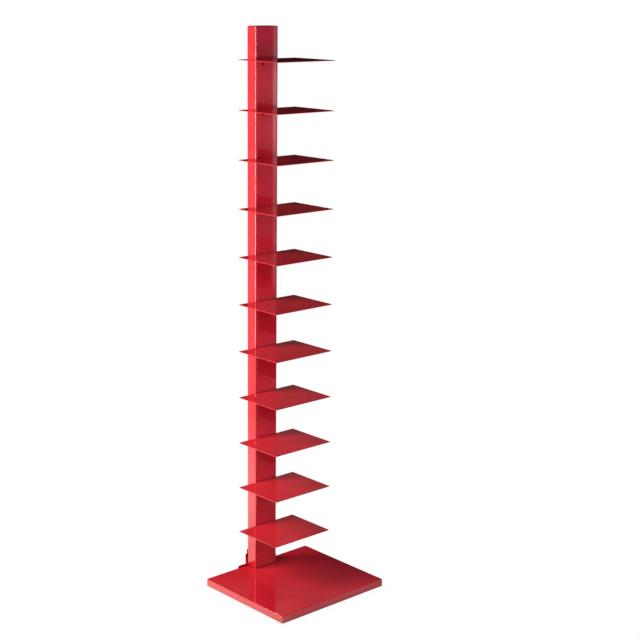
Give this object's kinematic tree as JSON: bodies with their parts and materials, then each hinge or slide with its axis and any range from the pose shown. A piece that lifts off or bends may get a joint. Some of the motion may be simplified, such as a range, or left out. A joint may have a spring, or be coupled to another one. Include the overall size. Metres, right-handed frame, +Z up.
{
  "type": "spine bookshelf",
  "caption": "Tall free-standing spine bookshelf: a slim rear post on a low square base, with small sheet-steel shelves stacked up its front.",
  "frame": {"origin": "on the floor, under the middle of the whole part", "axes": "+Z up along the post; -Y is the front, the way the shelves reach out from the post; +X is the right-hand side for a person who stands in front"},
  "size_m": [0.4, 0.3572, 1.657],
  "materials": {
    "red_paint": "gloss",
    "zinc_steel": "bright zinc plate",
    "core_board": "raw fibreboard",
    "pad_rubber": "matt"
  },
  "bodies": {
    "root": {"base_bolt_left": "zinc_steel", "base_bolt_right": "zinc_steel", "base_core": "core_board", "base_pan": "red_paint", "bracket_bolt_base_left": "zinc_steel", "bracket_bolt_base_right": "zinc_steel", "bracket_bolt_post_left": "zinc_steel", "bracket_bolt_post_right": "zinc_steel", "bracket_nut_left": "zinc_steel", "bracket_nut_right": "zinc_steel", "foot_pad_front_left": "pad_rubber", "foot_pad_front_right": "pad_rubber", "foot_pad_rear_left": "pad_rubber", "foot_pad_rear_right": "pad_rubber", "joiner_screw_lower_far": "zinc_steel", "joiner_screw_lower_near": "zinc_steel", "joiner_screw_upper_far": "zinc_steel", "joiner_screw_upper_near": "zinc_steel", "post_foot_plate": "zinc_steel", "post_joiner": "zinc_steel", "post_lower": "red_paint", "post_top_cap": "red_paint", "post_upper": "red_paint", "rear_bracket": "red_paint", "rear_clamp_plate": "red_paint", "shelf_01": "red_paint", "shelf_02": "red_paint", "shelf_03": "red_paint", "shelf_04": "red_paint", "shelf_05": "red_paint", "shelf_06": "red_paint", "shelf_07": "red_paint", "shelf_08": "red_paint", "shelf_09": "red_paint", "shelf_10": "red_paint", "shelf_11": "red_paint", "shelf_screw_01_left": "red_paint", "shelf_screw_01_right": "red_paint", "shelf_screw_02_left": "red_paint", "shelf_screw_02_right": "red_paint", "shelf_screw_03_left": "red_paint", "shelf_screw_03_right": "red_paint", "shelf_screw_04_left": "red_paint", "shelf_screw_04_right": "red_paint", "shelf_screw_05_left": "red_paint", "shelf_screw_05_right": "red_paint", "shelf_screw_06_left": "red_paint", "shelf_screw_06_right": "red_paint", "shelf_screw_07_left": "red_paint", "shelf_screw_07_right": "red_paint", "shelf_screw_08_left": "red_paint", "shelf_screw_08_right": "red_paint", "shelf_screw_09_left": "red_paint", "shelf_screw_09_right": "red_paint", "shelf_screw_10_left": "red_paint", "shelf_screw_10_right": "red_paint", "shelf_screw_11_left": "red_paint", "shelf_screw_11_right": "red_paint"}
  },
  "joints": []
}
